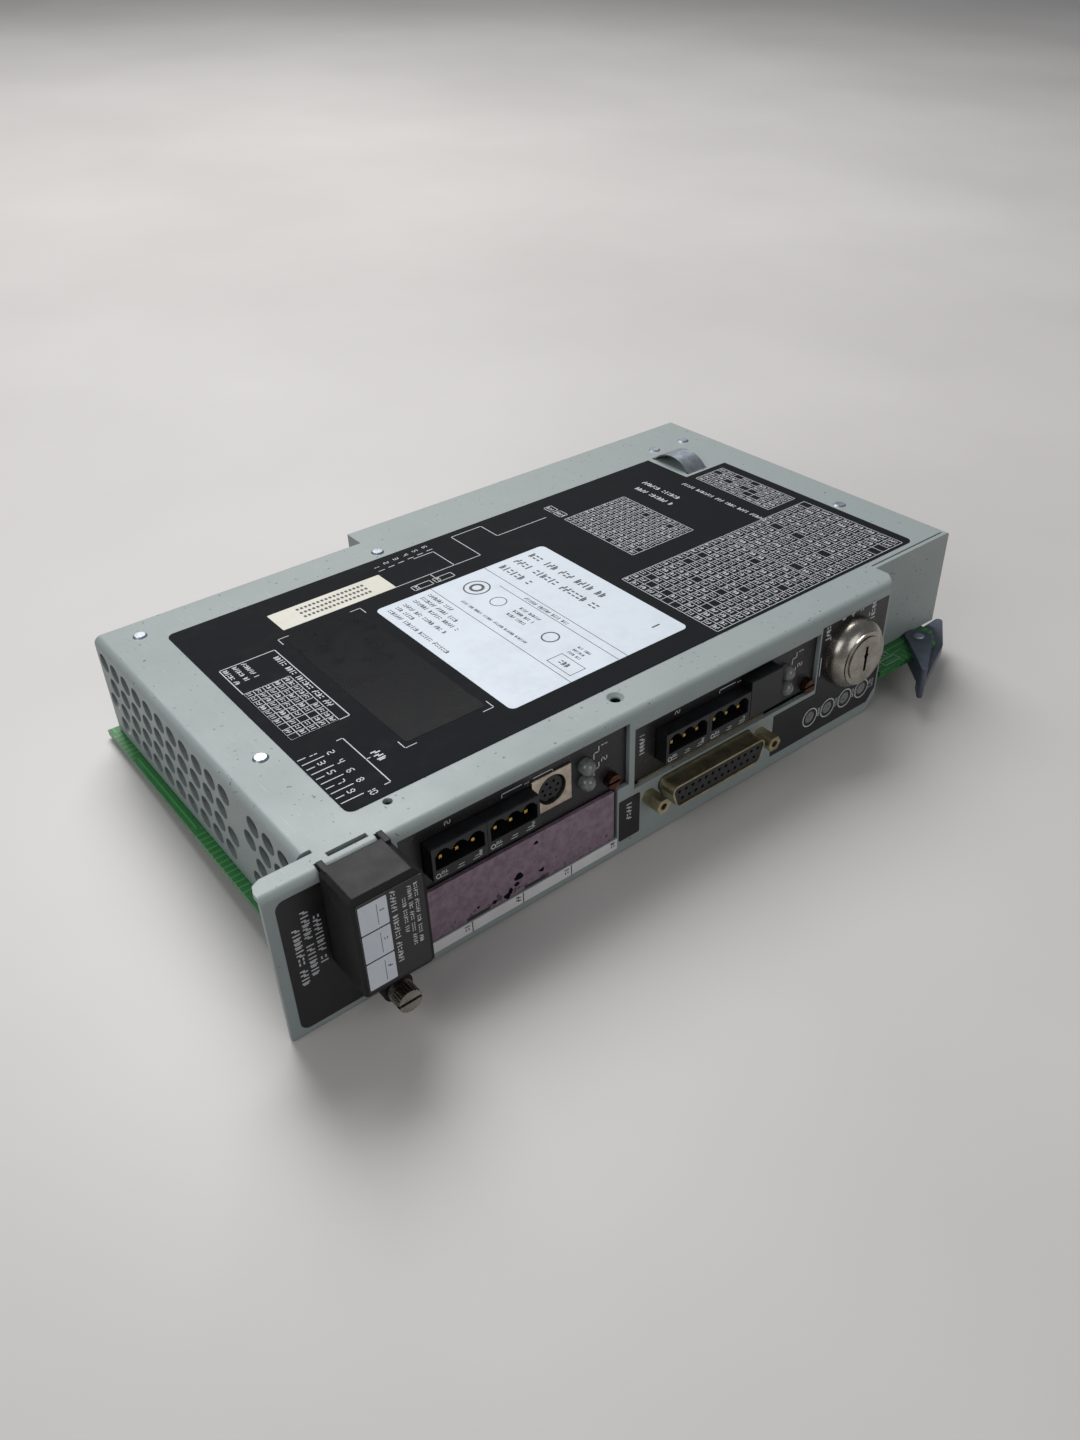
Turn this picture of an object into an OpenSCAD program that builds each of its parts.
// Programmable controller processor module for a card rack, lying on its side.
// X runs along the front panel from the battery end, Y runs from the panel to the rear
// connectors, Z is the module's thickness, with the cover on top.

/* [Front panel] */
// Length of the front panel
panel_len = 227; // [227:1:290]
// Width of the front panel, which is the thickness of the module
panel_w = 49; // [48:1:62]
// Thickness of the folded steel sheet
sheet_t = 1.5; // [1:0.1:1.8]
// Outer radius of the folds
fold_r = 2.5; // [2:0.1:3]
// Outer radius of the fold at the cover's connector end
side_r = 1; // [0.8:0.1:1.8]
// Depth of the stiffening lip along the lower edge of the panel
lip_depth = 5; // [3:0.5:8]

/* [Cover] */
// Depth of the cover behind the panel at the battery end
cover_depth = 140; // [130:1:180]
// How much deeper the cover is at the connector end
rear_step = 9; // [6:0.5:12]
// Distance from the battery end to that step
step_x = 110.4; // [100:0.2:120]
// Set-back of the vented wall from the battery end of the panel
wall_x = 13.4; // [12.5:0.1:15]
// Length of the cover beyond the panel
ext_len = 43; // [42:0.5:50]
// Set-back of the cover's front wall beyond the panel
ext_y = 9.6; // [9.6:0.1:12]
// Depth of the flange along the rear edge of the cover
rear_flange = 10; // [6:0.5:14]
// Diameter of the vent holes
vent_d = 6.4; // [4:0.2:6.8]
// Spacing of the vent holes
vent_pitch = 8.5; // [8.2:0.1:8.6]

/* [Boards] */
// Height of the main board's top face above the lower edge of the panel
board_z = 13.5; // [13:0.1:14]
// Thickness of the main board
board_t = 1.8; // [1.6:0.1:2.2]
// Thickness of the two channel boards
channel_t = 1.6; // [1:0.1:2]
// How far the board's connector tongues reach past the cover
tongue_reach = 7; // [5:0.5:9]

/* [Channel connectors] */
// Contact spacing of the plug-in terminal headers
header_pitch = 5.08; // [5:0.01:5.2]
// Depth of a header, front to back
header_depth = 12; // [10:0.5:14]
// Height of a header
header_h = 10.5; // [10:0.1:11]
// Width of the round socket's metal body
din_w = 13.5; // [13:0.1:14]
// Diameter of the hole in the round socket's face
din_d = 9.6; // [9.2:0.1:10]
// Diameter of an indicator lamp
led_d = 5; // [4.6:0.1:5.2]

/* [Port connector] */
// Distance between the two jack screws
jack_spacing = 47.04; // [46.8:0.04:47.4]
// Width of the port's shell
port_w = 38.96; // [38:0.02:39.4]
// Height of the port's shell
port_h = 8.36; // [8:0.02:8.6]
// Radius of the tapped hole in a jack screw
jack_bore_r = 1.15; // [1:0.05:1.4]

/* [Key switch] */
// Radius of the rotating lock plug
plug_r = 7.8; // [7:0.1:8]
// Radius of the domed bezel
bezel_r = 12; // [11.4:0.1:12.6]
// How far the lock's face stands in front of the panel
key_reach = 7.3; // [6:0.1:9]

/* [Battery and cartridge] */
// Diameter of the lithium cell
cell_d = 14.5; // [14:0.1:14.8]
// Length of the lithium cell
cell_len = 25.1; // [24:0.1:25.4]
// Width of the battery cover
battery_w = 20; // [19.6:0.1:21]
// How far the battery cover stands in front of the panel
battery_reach = 15; // [14:0.5:20]
// Radius of the thumbscrew's shank
thumb_r = 2; // [1.5:0.05:2.2]
// Radius of the thumbscrew's knurled head
thumb_head_r = 3.5; // [3:0.1:4]
// Width of the cartridge cover
cartridge_w = 70.6; // [69:0.2:71]

/* [Levers and fits] */
// Radius of the ejector's pivot pin
eject_pin_r = 1.5; // [1.2:0.05:1.8]
// Length of the ejector's arm from its pivot
eject_arm = 23; // [21:0.5:25]
// How far the ejector's nose reaches past the cover
nose_reach = 6; // [4:0.5:7]
// Radial clearance of turning parts
running_gap = 0.06; // [0.03:0.01:0.1]
// Clearance of parts that slide in or lie in a recess
slip_gap = 0.3; // [0.2:0.05:0.5]

/* [Hidden] */
$fn = 48;
eps = 0.01;
rocker_count = 10;
rocker_names = [for (i = [1:rocker_count]) str("dip_rocker_", i)];

// Colours
paint = "#a3afaf";
black = "#1f1c1e";
nickel = "#b9b4ab";
zinc = "#c5cbd5";
gold = "#c9a64a";
green = "#2f7d3a";

// Overall box, which sets the origin at the middle of its base
overall_len = panel_len + ext_len;
thumb_reach = battery_reach + 0.5;
tongue_y = cover_depth + rear_step + tongue_reach;
mid_x = (overall_len + nose_reach) / 2;
mid_y = (tongue_y - thumb_reach) / 2;
cover_y2 = cover_depth + rear_step;
under_cover = panel_w - sheet_t;
tab_depth = 7;
relief_w = 1.4;
seam_w = 0.6;
relief_x = wall_x + 4.1;

// Places along the panel: the channel 1 group counts from the battery end,
// the channel 2 group, the port and the key switch count from the other end
battery_x = 25;
battery_z0 = 18;
battery_top = panel_w + 1;
thumb_x = battery_x + 1.5;
thumb_z = 9.4;
win1_x = 36.6;
win1_x2 = 113;
win1_top = panel_w - 3;
cart_z0 = 6.3;
cart_z1 = 24.5;
cart_x2 = win1_x + slip_gap + cartridge_w + 1.2;
win2_x = panel_len - 111.9;
win2_x2 = panel_len - 33.7;
win2_z0 = 21.5;
win2_top = panel_w - 6.2;
port_x = panel_len - 82.6;
port_z = 16;
key_x = panel_len - 19;
key_z = 31;
status_x = panel_len - 34.5;
status_pitch = 8.65;
status_z = 11.2;
status_r = 2.1;

// Channel boards and what stands on them
base1_z = 30.1;
base2_z = 27.3;
header_w = 3 * header_pitch + 2.06;
header_wall = 1;
header_front = -3;
mouth_depth = 8;
pin_side = 1;
pin_start = -1.3;
pin_rise = 5.7;
head1_x = 44;
head2_x = panel_len - 102.4;
din_x = head1_x + 2 * header_w + 0.3;
blank_x = head2_x + 2 * header_w + 0.4;
din_h = 12;
blank_front = -2.8;
blank_h = 13.2;
din_front = 0.8;
led_x = [din_x + din_w + 5.3, panel_len - 48];
led_z = [[base1_z + 2.7, base1_z + 8.1], [base2_z + 1.4, base2_z + 7]];
win_screw = [[107, base1_z - 1.3], [panel_len - 37.2, base2_z - 2.4]];
win_screw_r = 1.5;
panel_front = sheet_t + 0.05;
panel_back = 3;
chan_y0 = 4;
chan_y1 = 62;

// Fixing points of the cover, shared by rivets, standoffs and screws
post_xy = [[25.2, 49], [25.2, cover_depth - 9], [step_x + 1, cover_depth - 10],
    [overall_len - 10.8, cover_depth - 9], [overall_len - 10.8, 49]];
clip_rivet = [overall_len - 26, cover_depth - 8.3];
post_flats = 6;
thread_r = 1.5;
spacer_xy = [[48, 54], [100, 54], [head2_x + 4, 54], [win2_x2 - 8, 54]];

// Ejector pivot, its heights and the radius that its slot clears around the pivot
pivot = [overall_len - 15, 4.5];
ear_top = board_z + 1.5;
grip_top = board_z + 2.2;
sole = board_z - board_t - 3.6;
slot_r = 13.6;
tip_z = 4;

// Moves a part from the panel's corner to the frame's origin
module in_frame() {
    translate([-mid_x, -mid_y, 0]) children();
}

// Extrudes a Y-Z outline along X
module along_x(x0, len) {
    translate([x0, 0, 0]) rotate([90, 0, 90]) linear_extrude(len) children();
}

// Extrudes an X-Z outline backwards from y0
module along_y(y0, len) {
    translate([0, y0 + len, 0]) rotate([90, 0, 0]) linear_extrude(len) children();
}

// Round bar that points back along Y
module bar_y(x, z, y0, y1, r) {
    translate([x, y0, z]) rotate([-90, 0, 0]) cylinder(h = y1 - y0, r = r);
}

// Hexagonal bar that points back along Y, with its distance across flats
module hex_y(x, z, y0, y1, flats) {
    translate([x, y0, z]) rotate([-90, 0, 0])
        cylinder(h = y1 - y0, r = flats / 2 / cos(30), $fn = 6);
}

module box(x0, x1, y0, y1, z0, z1) {
    translate([x0, y0, z0]) cube([x1 - x0, y1 - y0, z1 - z0]);
}

// Rectangle with round corners, from its two opposite corners
module round_rect(x0, x1, z0, z1, r) {
    union() {
        translate([x0 + r, z0]) square([x1 - x0 - 2 * r, z1 - z0]);
        translate([x0, z0 + r]) square([x1 - x0, z1 - z0 - 2 * r]);
        for (x = [x0 + r, x1 - r], z = [z0 + r, z1 - r]) translate([x, z]) circle(r);
    }
}

// What is cut off an outer corner to leave it round
module corner_cut(r) {
    difference() {
        translate([-1, 0]) square([r + 1, r + 1]);
        translate([r, 0]) circle(r);
    }
}

// ---------------------------------------------------------------- housing

module top_outline() {
    polygon([[0, 0], [panel_len, 0], [panel_len + 3.5, 4.6], [panel_len + 3.5, ext_y],
        [overall_len, ext_y], [overall_len, cover_y2], [step_x, cover_y2],
        [step_x, cover_depth], [wall_x, cover_depth], [wall_x, tab_depth + relief_w],
        [relief_x, tab_depth + relief_w], [relief_x, tab_depth], [3.2, tab_depth],
        [0.9, tab_depth - 1.2], [0, tab_depth - 3.6]]);
}

// Staggered vent holes; a row's first hole and the plain band follow the spacing
module vents(x0) {
    rise = vent_pitch * sin(60);
    first = cover_depth - 5 - vent_pitch * 14;
    for (row = [0:3], col = [0:14]) {
        y = first + (col + (row % 2) / 2) * vent_pitch;
        z = panel_w - 7 - row * rise;
        if (col != 3 && y > tab_depth + relief_w + vent_d / 2 + 1 && y < cover_depth - 3.5)
            translate([x0 - 1, y, z]) rotate([0, 90, 0]) cylinder(h = sheet_t + 2, d = vent_d, $fn = 24);
    }
}

module cover_walls() {
    z0 = board_z + slip_gap;
    h = panel_w - z0;
    box(wall_x, wall_x + sheet_t, tab_depth + relief_w, cover_depth, z0, panel_w);
    box(overall_len - sheet_t, overall_len, ext_y, cover_y2, z0, panel_w);
    box(panel_len + 2, overall_len, ext_y, ext_y + sheet_t, z0, panel_w);
    flange_z = panel_w - rear_flange;
    box(wall_x, step_x + sheet_t, cover_depth - sheet_t, cover_depth, flange_z, panel_w);
    box(step_x, step_x + sheet_t, cover_depth - sheet_t, cover_y2, flange_z, panel_w);
    box(step_x, overall_len, cover_y2 - sheet_t, cover_y2, flange_z, panel_w);
}

module fold_rounding() {
    along_x(-1, panel_len + 6) translate([0, panel_w - fold_r]) corner_cut(fold_r);
    along_y(tab_depth + relief_w, cover_depth) translate([wall_x, panel_w - fold_r]) corner_cut(fold_r);
    along_y(ext_y - 1, cover_y2) translate([overall_len, panel_w - side_r]) mirror([1, 0])
        corner_cut(side_r);
}

// Open seam between the cover and the wall folded up beyond the panel
module seam() {
    box(panel_len + 3.6, overall_len - 2, ext_y + sheet_t, ext_y + sheet_t + seam_w, under_cover - 1,
        panel_w + 1);
}

module panel_outline() {
    polygon([[0, 0], [panel_len - 4, 0], [panel_len, 5.5], [panel_len, panel_w], [0, panel_w]]);
}

module panel_openings() {
    along_y(-1, sheet_t + 2) {
        translate([win1_x, cart_z1 - eps]) square([win1_x2 - win1_x, win1_top - cart_z1 + eps]);
        translate([win1_x, cart_z0]) square([cart_x2 - win1_x, cart_z1 - cart_z0]);
        translate([win2_x, win2_z0]) square([win2_x2 - win2_x, win2_top - win2_z0]);
        translate([battery_x - cell_d / 2 - 1.5, battery_z0 + 1.6])
            square([cell_d + 3, panel_w - 3.2 - battery_z0 - 1.6]);
        translate([port_x, port_z]) port_outline(slip_gap);
    }
    for (s = [-1, 1]) bar_y(port_x + s * jack_spacing / 2, port_z, -1, sheet_t + 1, 1.7);
    bar_y(key_x, key_z, -1, sheet_t + 1, plug_r + 1.9);
    bar_y(thumb_x, thumb_z, -1, sheet_t + 1, thumb_r + slip_gap);
    for (i = [0:3]) bar_y(status_x + i * status_pitch, status_z, -1, sheet_t + 1, status_r + 0.05);
}

// Slots and notches at the top of the panel where the battery cover hooks in
hook_x = [battery_x - 8.3, battery_x + 8.3];
module top_openings() {
    box(battery_x - 5.2, battery_x + 6, 3.4, 5, panel_w - sheet_t - 1, panel_w + 1);
    for (x = hook_x) box(x - 1.1, x + 1.1, -1, 3.2, panel_w - 4.5, panel_w + 1);
    for (p = concat(post_xy, [clip_rivet]))
        translate([p[0], p[1], under_cover - 1]) cylinder(h = sheet_t + 2, r = thread_r + 0.05);
    translate([41.6, 11.7, under_cover - 1]) cylinder(h = sheet_t + 2, r = 1.3);
    translate([win2_x + 0.4, 9.1, under_cover - 1]) cylinder(h = sheet_t + 2, r = 1.5);
    translate([win2_x + 0.4, 9.1, panel_w - 1]) cylinder(h = 1 + eps, r1 = 1.5, r2 = 2.6);
    clip_slots();
}

module housing() color(paint) in_frame() difference() {
    union() {
        along_y(0, sheet_t) panel_outline();
        translate([0, 0, under_cover]) linear_extrude(sheet_t) top_outline();
        cover_walls();
        box(2, panel_len - 6, 0, lip_depth, 0, sheet_t);
    }
    panel_openings();
    top_openings();
    fold_rounding();
    seam();
    vents(wall_x);
    vents(overall_len - sheet_t);
}

// ---------------------------------------------------------------- boards

tongues = [[step_x + 11.6, overall_len - 84], [overall_len - 74, overall_len - 12]];
board_x0 = wall_x - 3.4;
board_x1 = overall_len - 6;
board_front = 3;
port_notch = 12;

module board_outline() {
    difference() {
        polygon([[board_x0, board_front], [panel_len + 1, board_front], [panel_len + 1, -0.7],
            [pivot[0] + 3, -0.7], [board_x1, 5.3], [board_x1, cover_y2 + 1.5],
            [step_x + 3, cover_y2 + 1.5], [step_x + 3, cover_depth + 2.3],
            [board_x0, cover_depth + 2.3]]);
        translate([port_x - jack_spacing / 2 - 4.6, board_front - 1])
            square([jack_spacing + 9.2, port_notch - board_front + 1]);
        translate([thumb_x - 5, board_front - 1]) square([10, 4.2]);
    }
    for (t = tongues) translate([t[0], cover_y2]) square([t[1] - t[0], tongue_reach]);
}

module main_board() color(green) in_frame() difference() {
    translate([0, 0, board_z - board_t]) linear_extrude(board_t) board_outline();
    for (p = post_xy) translate([p[0], p[1], board_z - board_t - 1])
        cylinder(h = board_t + 2, r = thread_r + 0.05);
    translate([pivot[0], pivot[1], board_z - board_t - 1]) cylinder(h = board_t + 2, r = eject_pin_r);
}

finger_pitch = 3.96;
module edge_contacts() color(gold) in_frame()
    for (t = tongues, z = [board_z, board_z - board_t - 0.1])
        for (x = [t[0] + 2:finger_pitch:t[1] - 4])
            translate([x, tongue_y - 7.5, z]) cube([2.4, 7, 0.1]);

module channel_board(x0, x1, top) difference() {
    box(x0, x1, chan_y0, chan_y1, top - channel_t, top);
    for (p = spacer_xy) translate([p[0], p[1], top - channel_t - 1])
        cylinder(h = channel_t + 2, r = thread_r + 0.05);
}

module channel_1_board() color(green) in_frame() channel_board(win1_x + 4, win1_x2 - 1, base1_z);

module channel_2_board() color(green) in_frame() channel_board(win2_x + 6, win2_x2 - 1, base2_z);

module board_standoffs() color(zinc) in_frame() for (p = post_xy) translate([p[0], p[1], board_z])
    difference() {
        cylinder(h = under_cover - board_z, r = post_flats / 2 / cos(30), $fn = 6);
        translate([0, 0, -1]) cylinder(h = 9, r = thread_r + 0.05);
        translate([0, 0, under_cover - board_z - 6]) cylinder(h = 7, r = thread_r + 0.05);
    }

module cover_rivets() color(zinc) in_frame() for (p = concat(post_xy, [clip_rivet]))
    translate([p[0], p[1], 0]) {
        translate([0, 0, under_cover - (p == clip_rivet ? 1.4 : 5)])
            cylinder(h = sheet_t + (p == clip_rivet ? 1.4 : 5), r = thread_r);
        translate([0, 0, panel_w]) cylinder(h = 0.5, r1 = 2.3, r2 = 1.7);
    }

// Pan-head screw with a cross recess, its head's seat at the origin and its head upwards
module pan_screw(shank) difference() {
    union() {
        cylinder(h = 1.8, r1 = 2.8, r2 = 2.3);
        translate([0, 0, -shank]) cylinder(h = shank, r = thread_r);
    }
    for (a = [0, 90]) rotate([0, 0, a]) translate([-1.6, -0.35, 0.8]) cube([3.2, 0.7, 2]);
}

function channel_top(x) = x < win1_x2 ? base1_z : base2_z;

module board_screws() color(zinc) in_frame() {
    for (p = post_xy) translate([p[0], p[1], board_z - board_t]) mirror([0, 0, 1])
        pan_screw(board_t + 6);
    for (p = spacer_xy) translate([p[0], p[1], channel_top(p[0])]) pan_screw(channel_t + 4);
}

module channel_spacers() color(zinc) in_frame() for (p = spacer_xy)
    translate([p[0], p[1], board_z]) difference() {
        cylinder(h = channel_top(p[0]) - channel_t - board_z, r = 5 / 2 / cos(30), $fn = 6);
        translate([0, 0, channel_top(p[0]) - channel_t - board_z - 5])
            cylinder(h = 6, r = thread_r + 0.05);
    }

module stacking_connectors() color(black) in_frame() for (c = [[58, base1_z], [head2_x + 14, base2_z]])
    difference() {
        box(c[0], c[0] + 33, 48, 53, board_z, c[1] - channel_t);
        for (i = [0:11]) translate([c[0] + 2.5 + i * 2.54, 50.5, board_z + 3])
            cube([0.7, 2.2, 3], center = true);
    }

// ---------------------------------------------------------------- channel windows

module channel_1_panel() color(black) in_frame() difference() {
    along_y(panel_front, panel_back - panel_front) difference() {
        translate([win1_x - 1, cart_z1 + 0.2]) square([win1_x2 - win1_x + 1.8, win1_top - cart_z1 + 0.8]);
        translate([head1_x - 0.2, base1_z - 0.2]) square([2 * header_w + 0.4, header_h + 0.4]);
        translate([din_x - 0.1, base1_z - 0.2]) square([din_w + 0.2, din_h + 0.4]);
    }
    for (z = led_z[0]) bar_y(led_x[0], z, 0, 5, led_d / 2 + 0.1);
    bar_y(win_screw[0][0], win_screw[0][1], 0, 5, win_screw_r + 0.05);
}

module channel_2_panel() color(black) in_frame() difference() {
    along_y(panel_front, panel_back - panel_front) difference() {
        translate([win2_x - 0.8, win2_z0 + 1]) square([win2_x2 - win2_x + 1.6, win2_top - win2_z0]);
        translate([head2_x - 0.2, base2_z - 0.2]) square([2 * header_w + 0.4, header_h + 0.4]);
        translate([blank_x - 0.1, base2_z - 0.2]) square([din_w + 0.2, blank_h + 0.4]);
    }
    for (z = led_z[1]) bar_y(led_x[1], z, 0, 5, led_d / 2 + 0.1);
    bar_y(win_screw[1][0], win_screw[1][1], 0, 5, win_screw_r + 0.05);
}

module window_screws() color("#5a4034") in_frame() for (p = win_screw) difference() {
    union() {
        bar_y(p[0], p[1], panel_front - 2.4, panel_front, 2.4);
        bar_y(p[0], p[1], panel_front - eps, panel_back + 0.9, win_screw_r);
    }
    box(p[0] - 3, p[0] + 3, panel_front - 3, panel_front - 1.4, p[1] - 0.4, p[1] + 0.4);
}

// Keyed mouth of a terminal header: a slot with one arch above each contact
module header_mouth(x0) {
    translate([x0 + header_wall, 3.4]) square([header_w - 2 * header_wall, 4.6]);
    for (i = [-1:1]) translate([x0 + header_w / 2 + i * header_pitch, 7.2]) circle(2.3);
}

module header_body(x0, z0) difference() {
    box(x0, x0 + header_w - 0.1, header_front, header_front + header_depth, z0, z0 + header_h);
    translate([0, 0, z0]) along_y(header_front - 1, mouth_depth + 1) header_mouth(x0);
    for (i = [-1:1]) box(x0 + header_w / 2 + i * header_pitch - pin_side / 2,
        x0 + header_w / 2 + i * header_pitch + pin_side / 2, 0, 20,
        z0 + pin_rise - pin_side / 2, z0 + pin_rise + pin_side / 2);
}

header_list = [for (k = [0, 1]) each [[head1_x + k * header_w, base1_z],
    [head2_x + k * header_w, base2_z]]];

module channel_headers() color(black) in_frame() for (h = header_list) header_body(h[0], h[1]);

module header_pins() color(zinc) in_frame() for (h = header_list, i = [-1:1]) {
    x = h[0] + header_w / 2 + i * header_pitch;
    y1 = header_front + header_depth + 1.5;
    box(x - pin_side / 2, x + pin_side / 2, pin_start, y1, h[1] + pin_rise - pin_side / 2,
        h[1] + pin_rise + pin_side / 2);
    box(x - pin_side / 2, x + pin_side / 2, y1 - pin_side, y1, h[1], h[1] + pin_rise);
}

din_cx = din_x + din_w / 2;
din_cz = base1_z + din_h / 2 + 0.3;

module din_shell() color("#c9bbae") in_frame() difference() {
    box(din_x, din_x + din_w, din_front, din_front + 12, base1_z, base1_z + din_h);
    bar_y(din_cx, din_cz, din_front - 1, din_front + 11, din_d / 2);
}

din_ring = [[-2.4, -1.9], [0, -2.6], [2.4, -1.9], [-3.2, 0.2], [0, 0.2], [3.2, 0.2],
    [-1.5, 2.4], [1.5, 2.4]];
contact_r = 0.45;

module din_insert() color(black) in_frame() difference() {
    bar_y(din_cx, din_cz, din_front + 0.8, din_front + 11, din_d / 2 - 0.7);
    for (p = din_ring) bar_y(din_cx + p[0] * 0.82, din_cz + p[1] * 0.82, 0, din_front + 9, contact_r);
    box(din_cx - 1, din_cx + 1, 0, din_front + 6, din_cz - din_d / 2, din_cz - din_d / 2 + 1.3);
}

module din_contacts() color(gold) in_frame() for (p = din_ring)
    bar_y(din_cx + p[0] * 0.82, din_cz + p[1] * 0.82, din_front + 2.4, din_front + 9, contact_r);

module din_blank() color(black) in_frame() difference() {
    box(blank_x, blank_x + din_w, blank_front, 6, base2_z, base2_z + blank_h);
    box(blank_x + 1.2, blank_x + din_w - 1.2, blank_front + 1.8, 7, base2_z - 1, base2_z + blank_h - 1.2);
}

// Indicator lamp with a domed nose and two legs that stand on its board behind the back face b
module lamp(x, z, nose, foot, b) {
    r = led_d / 2;
    bar_y(x, z, nose + r, b, r);
    translate([x, nose + r, z]) sphere(r);
    for (s = [-1.6, 1.1]) {
        box(x + s, x + s + 0.5, b - eps, b + 0.5, foot, z + 0.25);
    }
}

module channel_leds() color([0.75, 0.78, 0.76, 0.6]) in_frame() for (c = [0, 1], k = [0, 1])
    lamp(led_x[c], led_z[c][k], -2.2, c == 0 ? base1_z : base2_z, chan_y0 - 0.1 + 1.4 * k);

module status_lenses() color([0.7, 0.72, 0.7, 0.7]) in_frame() for (i = [0:3]) {
    bar_y(status_x + i * status_pitch, status_z, -0.1, sheet_t, status_r);
    bar_y(status_x + i * status_pitch, status_z, sheet_t, sheet_t + 1, status_r + 0.6);
}

module status_leds() color("#c8cdc4") in_frame() for (i = [0:3])
    box(status_x + i * status_pitch - 1.8, status_x + i * status_pitch + 1.8, sheet_t + 1.1,
        board_front + 4, board_z - board_t - 3.4, board_z - board_t);

// ---------------------------------------------------------------- labels

label_t = 0.2;
module panel_label_outline() {
    difference() {
        round_rect(3, win1_x - 0.3, 1.8, panel_w - 3, 2.6);
        translate([battery_x - cell_d / 2 - 1.5, battery_z0 + 1.6])
            square([cell_d + 3, panel_w]);
        translate([thumb_x, thumb_z]) circle(5.2);
        for (x = hook_x) translate([x - 1.3, panel_w - 5]) square([2.6, 9]);
    }
    difference() {
        union() {
            polygon([[panel_len - 52.6, 4], [panel_len - 4.6, 4], [panel_len - 1, 8.6],
                [panel_len - 1, win2_z0 - 1.6], [panel_len - 52.6, win2_z0 - 1.6]]);
            translate([win2_x2 + 0.7, win2_z0 - 2]) square([32, panel_w - 4.5 - win2_z0 + 2]);
        }
        translate([key_x, key_z]) circle(plug_r + 2.4);
        for (i = [0:3]) translate([status_x + i * status_pitch, status_z]) circle(status_r + 0.1);
    }
    round_rect(cart_x2 + 0.6, port_x - jack_spacing / 2 - 3.6, 4.4, 19.4, 0.5);
}

module front_labels() color(black) in_frame() along_y(-label_t, label_t) panel_label_outline();

module channel_strip() color("#ddd8d8") in_frame() box(win1_x + 1.9, cart_x2 - 0.2, -label_t, 0,
    2.4, cart_z0 - 0.15);

label_step = [overall_len - 35.4, overall_len - 16.4];
module overlay_outline() {
    x0 = wall_x + 18;
    x1 = overall_len - 14.6;
    y1 = cover_depth - 14.6;
    difference() {
        round_rect(x0, x1, 13.8, y1, 2.5);
        translate([label_step[0], cover_depth - 36.4]) square([60, 60]);
    }
    difference() {
        translate([label_step[1], cover_depth - 60]) square([x1 - label_step[1], 22]);
        translate([label_step[0], cover_depth - 38.2]) square([60, 60]);
    }
}

module overlay_label() color("#3a3b3c") in_frame() translate([0, 0, panel_w])
    linear_extrude(label_t) overlay_outline();

// ---------------------------------------------------------------- port connector

// D-shaped outline of the port: wide at the top, grown outwards by g
module port_outline(g) {
    w = port_w / 2 + g;
    h = port_h / 2 + g;
    r = 2.2 + g;
    lean = h * 2 * tan(10);
    hull() {
        for (s = [-1, 1]) {
            translate([s * (w - r), h - r]) circle(r, $fn = 32);
            translate([s * (w - r - lean), r - h]) circle(r, $fn = 32);
        }
    }
}

shell_t = 0.6;
port_front = -6.2;
flange_h = 12.5;

module port_shell() color("#8a8470") in_frame() difference() {
    union() {
        translate([port_x, 0, port_z]) along_y(port_front, sheet_t + 0.8 - port_front) port_outline(0);
        box(port_x - 26.52, port_x + 26.52, sheet_t, sheet_t + 0.8, port_z - flange_h / 2,
            port_z + flange_h / 2);
    }
    translate([port_x, 0, port_z]) along_y(port_front - 1, 12) port_outline(-shell_t);
    for (s = [-1, 1]) bar_y(port_x + s * jack_spacing / 2, port_z, 0, 6, 1.65);
}

port_pitch = 2.77;
port_rows = 1.42;
port_pins = concat([for (i = [0:12]) [(i - 6) * port_pitch, port_rows]],
    [for (i = [0:11]) [(i - 5.5) * port_pitch, -port_rows]]);

module port_insulator() color(black) in_frame() difference() {
    union() {
        translate([port_x, 0, port_z]) along_y(port_front + 0.3, 7) port_outline(-shell_t);
        box(port_x - 20.5, port_x + 20.5, sheet_t + 0.8, port_notch - 0.5, port_z - 5.4, port_z + 5.4);
    }
    for (p = port_pins) bar_y(port_x + p[0], port_z + p[1], port_front - 1, port_notch, 0.6, $fn = 16);
}

module port_contacts() color(gold) in_frame() for (p = port_pins) {
    y1 = port_notch + (p[1] > 0 ? 5 : 2.4);
    difference() {
        bar_y(port_x + p[0], port_z + p[1], port_front + 1, y1, 0.55, $fn = 16);
        bar_y(port_x + p[0], port_z + p[1], port_front, port_front + 5, 0.36, $fn = 16);
    }
    translate([port_x + p[0], y1 - 0.5, board_z])
        cylinder(h = port_z + p[1] - board_z, r = 0.5, $fn = 16);
}

jack_reach = 6.7;
module jack_screws() color("#8a8470") in_frame() for (s = [-1, 1]) difference() {
    union() {
        hex_y(port_x + s * jack_spacing / 2, port_z, -jack_reach, 0, 4.76);
        bar_y(port_x + s * jack_spacing / 2, port_z, -eps, 7, 1.6);
    }
    bar_y(port_x + s * jack_spacing / 2, port_z, -jack_reach - 1, -0.4, jack_bore_r);
}

// ---------------------------------------------------------------- key switch

barrel_r = plug_r + 1.6;
module key_bezel() color(nickel) in_frame() translate([key_x, -label_t, key_z]) rotate([90, 0, 0])
    difference() {
        rotate_extrude($fn = 96) intersection() {
            translate([barrel_r + 0.02, 0]) square([bezel_r - barrel_r, key_reach]);
            union() {
                square([bezel_r, 1.6]);
                translate([bezel_r - 5.4, 1.6]) circle(5.4);
            }
        }
        translate([0, 0, -1]) cylinder(h = 2 * key_reach, r = barrel_r + 0.02);
    }

key_tail = 20;
module key_barrel() color(nickel) in_frame() difference() {
    bar_y(key_x, key_z, -key_reach + 0.4, key_tail, barrel_r);
    bar_y(key_x, key_z, -key_reach - 1, key_tail + 1, plug_r + running_gap);
}

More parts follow.
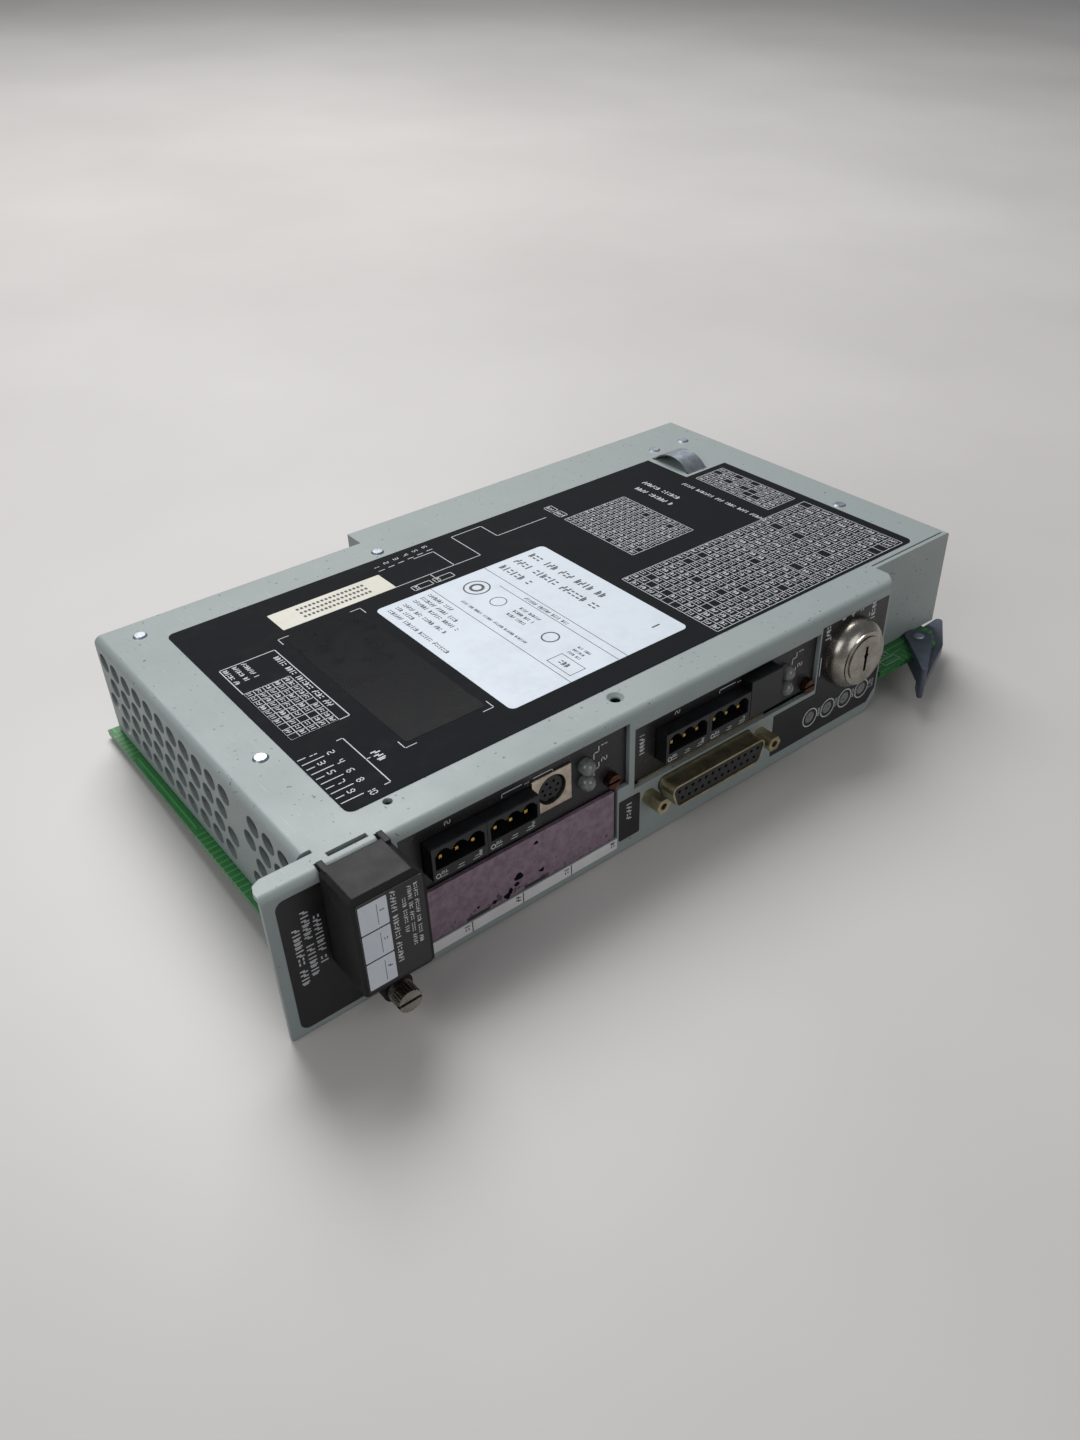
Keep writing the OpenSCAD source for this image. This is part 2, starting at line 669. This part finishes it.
module key_nut() color(nickel) in_frame() difference() {
    hex_y(key_x, key_z, sheet_t, sheet_t + 3.4, 2 * barrel_r + 4);
    bar_y(key_x, key_z, 0, 9, barrel_r + 0.02);
}

module key_plug() color(nickel) in_frame() difference() {
    union() {
        bar_y(key_x, key_z, -key_reach, key_tail, plug_r);
        bar_y(key_x, key_z, key_tail - eps, key_tail + 8, 3);
    }
    box(key_x - 0.6, key_x + 0.6, -key_reach - 1, key_tail - 6, key_z - 4.6, key_z + 4.6);
    bar_y(key_x, key_z + 1.2, -key_reach - 1, -key_reach + 2, 1);
}

module key_switch() color(black) in_frame() difference() {
    box(key_x - 11, key_x + 11, key_tail + 0.3, key_tail + 20, board_z + 1.4, key_z + 11);
    bar_y(key_x, key_z, key_tail - 1, key_tail + 8.5, 3 + running_gap);
    for (k = [-1, 1]) box(key_x + k * 7 - 1, key_x + k * 7 + 1, key_tail + 18, key_tail + 21,
        key_z - 6, key_z + 6);
}

// ---------------------------------------------------------------- cartridge bay

bay_x0 = win1_x + 1.8;
bay_x1 = cart_x2 - 1.6;
bay_z0 = board_z + 0.3;
bay_z1 = cart_z1 - 0.3;
bay_wall = 1.2;
bay_depth = 44;

module cartridge_bay() color(black) in_frame() difference() {
    box(bay_x0, bay_x1, sheet_t + 0.3, bay_depth, bay_z0, bay_z1);
    box(bay_x0 + bay_wall, bay_x1 - bay_wall, 0, bay_depth - bay_wall, bay_z0 + bay_wall,
        bay_z1 - bay_wall);
}

module cartridge_socket() color("#7a4a2a") in_frame() difference() {
    box(bay_x0 + 8, bay_x1 - 8, bay_depth - 5.2, bay_depth - bay_wall, bay_z0 + 2.4, bay_z1 - 2);
    for (i = [0:18]) box(bay_x0 + 10.4 + i * 2.54, bay_x0 + 11.4 + i * 2.54, bay_depth - 6,
        bay_depth - 2.4, bay_z0 + 4, bay_z0 + 5.6);
}

tongue_w = 7;
module cartridge_cover() color("#5a4656") in_frame() {
    box(win1_x + slip_gap, win1_x + slip_gap + cartridge_w, 0.2, 1.4, cart_z0 + slip_gap, cart_z1 - 0.2);
    for (x = [bay_x0 + 5, bay_x1 - 5 - tongue_w]) box(x, x + tongue_w, 1.4 - eps, 8,
        bay_z1 - bay_wall - 1.5, bay_z1 - bay_wall - 0.3);
}

// ---------------------------------------------------------------- battery

cell_y = -4.3;
cell_z0 = battery_z0 + 2.1;
cover_wall = 1.6;

module battery_section() {
    w = battery_w / 2;
    polygon([[battery_x - w, battery_z0 + 1], [battery_x - w + 1, battery_z0], [battery_x + w - 1, battery_z0],
        [battery_x + w, battery_z0 + 1], [battery_x + w, battery_top - 2.8],
        [battery_x + w - 2.6, battery_top], [battery_x - w + 1.2, battery_top],
        [battery_x - w, battery_top - 1.2]]);
}

module battery_side() {
    polygon([[0, battery_z0 - 1], [-battery_reach + 0.6, battery_z0 - 1], [-battery_reach, battery_z0 + 1],
        [-battery_reach, battery_top - 2.2], [-battery_reach + 1.2, battery_top], [0, battery_top + 1]]);
}

boss_reach = 9.6;
module battery_cover() color("#2a2a2c") in_frame() difference() {
    union() {
        intersection() {
            along_y(-battery_reach, battery_reach - slip_gap) battery_section();
            along_x(0, 60) battery_side();
        }
        bar_y(thumb_x, thumb_z, -boss_reach, -slip_gap, thumb_r + 2.4);
        box(thumb_x - 3, thumb_x + 3, -boss_reach, -slip_gap, thumb_z + 2, battery_z0 + 1);
        for (s = [-1, 1]) box(battery_x + s * (cell_d / 2 + 0.8) - 0.45,
            battery_x + s * (cell_d / 2 + 0.8) + 0.45, -battery_reach + 2, 2.6, battery_z0 + 2.2,
            panel_w - 4);
        for (x = hook_x) box(x - 0.8, x + 0.8, -2, 2.4, panel_w - 1.4, battery_top);
    }
    box(battery_x - cell_d / 2 - 0.35, battery_x + cell_d / 2 + 0.35, -battery_reach + cover_wall, 9,
        battery_z0 + cover_wall, battery_top - cover_wall - 1);
    bar_y(thumb_x, thumb_z, -battery_reach, 3, thumb_r + running_gap);
}

module thumbscrew() color(nickel) in_frame() difference() {
    union() {
        bar_y(thumb_x, thumb_z, -thumb_reach, -boss_reach - 0.6, thumb_head_r);
        bar_y(thumb_x, thumb_z, -boss_reach - 0.6 - eps, -boss_reach - 0.1, thumb_r + 0.7);
        bar_y(thumb_x, thumb_z, -boss_reach - 1, 6.4, thumb_r);
    }
    box(thumb_x - 5, thumb_x + 5, -thumb_reach - 1, -thumb_reach + 1.3, thumb_z - 0.5, thumb_z + 0.5);
    for (a = [0:15:345]) translate([thumb_x, -thumb_reach - 1, thumb_z]) rotate([0, a, 0])
        translate([thumb_head_r, 0, 0]) rotate([-90, 0, 0]) cylinder(h = 4.6, r = 0.22, $fn = 4);
}

module thumbscrew_nut() color(zinc) in_frame() difference() {
    bar_y(thumb_x, thumb_z, sheet_t, sheet_t + 4, thumb_r + 2.2);
    bar_y(thumb_x, thumb_z, 0, 9, thumb_r + running_gap);
}

tray_y = cell_y + cell_d / 2 + 0.3;
tray_front = sheet_t + 1.7;
module battery_tray() color(black) in_frame() difference() {
    box(battery_x - 9.6, battery_x + 9.6, tray_front, tray_y + 2, battery_z0 - 0.5, panel_w - 3.4);
    translate([battery_x, cell_y, battery_z0 - 2]) cylinder(h = panel_w, r = cell_d / 2 + 0.1);
}

module battery_cell() color("#c8b24a") in_frame() translate([battery_x, cell_y, cell_z0]) {
    cylinder(h = cell_len - 1, r = cell_d / 2);
    translate([0, 0, cell_len - 1 - eps]) cylinder(h = 1, r = 3);
}

module battery_contacts() color(nickel) in_frame() for (z = [cell_z0 - 0.4, cell_z0 + cell_len])
    box(battery_x - 2.5, battery_x + 2.5, cell_y - 2, tray_front, z, z + 0.4);

// ---------------------------------------------------------------- clip and ejector

clip_w = 9.6;
clip_x = overall_len - 32.4;
clip_y = cover_depth - 24.4;
clip_r = 13.6;
clip_rise = 4.2;
clip_t = 0.5;

module clip_arc(g) {
    translate([clip_y, panel_w + clip_rise - clip_r]) difference() {
        circle(clip_r + g, $fn = 96);
        circle(clip_r - clip_t - g, $fn = 96);
    }
}

module clip_slots() {
    along_x(clip_x - 0.4, clip_w + 0.8) intersection() {
        clip_arc(0.35);
        translate([clip_y - 30, panel_w - sheet_t - 1]) square([60, sheet_t + 1.6]);
    }
}

module spring_clip() color(zinc) in_frame() difference() {
    union() {
        along_x(clip_x, clip_w) intersection() {
            clip_arc(0);
            translate([clip_y - 30, under_cover - 0.9]) square([60, 20]);
        }
        box(clip_x, clip_x + clip_w, clip_y + 11.1, cover_depth - 3, under_cover - 0.9, under_cover - 0.4);
    }
    translate([clip_rivet[0], clip_rivet[1], 0]) cylinder(h = panel_w, r = thread_r + 0.05);
}

// Point at a distance and a bearing from the ejector's pivot
function polar(r, a) = pivot + r * [cos(a), sin(a)];

module grip_outline() {
    hull() {
        translate(polar(4.7, 184)) circle(1.2);
        translate(polar(6.1, 250)) circle(1.2);
        translate(polar(eject_arm - 1, 222)) circle(1);
    }
}

module claw_outline() {
    hull() {
        translate([overall_len + nose_reach - 1.4, pivot[1] + 5.2]) circle(1.4);
        translate(pivot) circle(5.4);
        translate(polar(8.2, 322)) circle(1);
    }
    hull() {
        translate(pivot) circle(4.2);
        translate(polar(8.2, 322)) circle(1);
        translate(polar(eject_arm - 1, 222)) circle(1);
    }
}

module tip_outline() {
    hull() for (r = [16.4, eject_arm - 1]) translate(polar(r, 222)) circle(1);
}

module ejector_lever() color("#4a505e") in_frame() difference() {
    union() {
        translate([0, 0, sole]) linear_extrude(board_z - board_t - 0.2 - sole) claw_outline();
        translate([0, 0, sole]) linear_extrude(grip_top - sole) grip_outline();
        translate([0, 0, sole]) linear_extrude(ear_top - sole) translate(pivot) circle(4.7);
        translate([0, 0, tip_z]) linear_extrude(grip_top - tip_z) tip_outline();
    }
    translate([pivot[0], pivot[1], board_z - board_t - 0.2]) cylinder(h = board_t + 0.4, r = slot_r);
    translate([pivot[0], pivot[1], 0]) cylinder(h = 30, r = eject_pin_r + running_gap);
    translate([pivot[0], pivot[1], ear_top]) cylinder(h = 30, r = 4.75);
}

module ejector_pin() color(zinc) in_frame() translate([pivot[0], pivot[1], sole + 0.2]) union() {
    cylinder(h = ear_top - sole, r = eject_pin_r);
    translate([0, 0, ear_top - sole - 0.1]) cylinder(h = 0.5, r1 = eject_pin_r + 0.5, r2 = eject_pin_r);
}

// ---------------------------------------------------------------- on the main board

chip_y = 96;
module processor_chip() color("#3a3a3e") in_frame() union() {
    box(146, 181, chip_y - 17, chip_y + 18, board_z + 1.2, board_z + 5);
    box(151, 176, chip_y - 12, chip_y + 13, board_z + 5 - eps, board_z + 6);
    box(148, 179, chip_y - 15, chip_y + 16, board_z, board_z + 1.2 + eps);
}

memory_y0 = chan_y1 + 10;
memory_len = (cover_depth - 20 - memory_y0) / 2;

module memory_chips() color("#26262a") in_frame() for (i = [0:3], j = [0, 1])
    translate([52 + i * 18, memory_y0 + j * (memory_len + 6), board_z]) {
        translate([0, 0, 0.5]) cube([10, memory_len, 3.6]);
        for (k = [0:4], s = [0, 1]) translate([-0.4 + s * 10.2, 1.4 + k * (memory_len - 3.68) / 4, 0])
            cube([0.6, 0.8, 2.4]);
    }

module capacitors() color("#33406a") in_frame() for (x = [56, 34], y = [66, 82])
    translate([overall_len - x, y, board_z]) {
        cylinder(h = 15, r = 5);
        translate([0, 0, 15 - eps]) cylinder(h = 0.6, r = 4.4);
    }

// ---------------------------------------------------------------- switch bank

dip_pitch = 2.54;
dip_x = wall_x + sheet_t + 2.9;
dip_y = 19.2;
dip_z = board_z + 3.6;
rocker_w = 1.5;
rocker_rest = -20;
function rocker_y(i) = dip_y + (i - 0.5) * dip_pitch;

module dip_bank() color("#a8322c") in_frame() difference() {
    box(dip_x, dip_x + 7.5, dip_y - 1, dip_y + rocker_count * dip_pitch + 1, board_z, board_z + 7);
    for (i = [1:rocker_count]) box(dip_x - 1, dip_x + 3.2, rocker_y(i) - rocker_w / 2 - 0.2,
        rocker_y(i) + rocker_w / 2 + 0.2, dip_z - 2.3, dip_z + 2.3);
}

module dip_rocker(i) color("white") in_frame() translate([dip_x + 1.4, rocker_y(i) + rocker_w / 2, dip_z])
    rotate([90, 0, 0]) linear_extrude(rocker_w) rotate(-rocker_rest) union() {
        circle(1.1);
        translate([-3.4, -0.55]) square([3.4, 1.1]);
    }

// ---------------------------------------------------------------- nodes

housing();
main_board();
edge_contacts();
channel_1_board();
channel_2_board();
board_standoffs();
cover_rivets();
board_screws();
channel_spacers();
stacking_connectors();
channel_1_panel();
channel_2_panel();
window_screws();
channel_headers();
header_pins();
din_shell();
din_insert();
din_contacts();
din_blank();
channel_leds();
status_leds();
status_lenses();
front_labels();
port_shell();
port_insulator();
port_contacts();
jack_screws();
key_bezel();
key_barrel();
key_nut();
key_switch();
overlay_label();
channel_strip();
cartridge_bay();
cartridge_socket();
battery_tray();
battery_contacts();
battery_cell();
thumbscrew_nut();
spring_clip();
ejector_pin();
processor_chip();
memory_chips();
capacitors();
dip_bank();
battery_cover();
thumbscrew();
cartridge_cover();
key_plug();
ejector_lever();
for (i = [1:rocker_count]) dip_rocker(i);
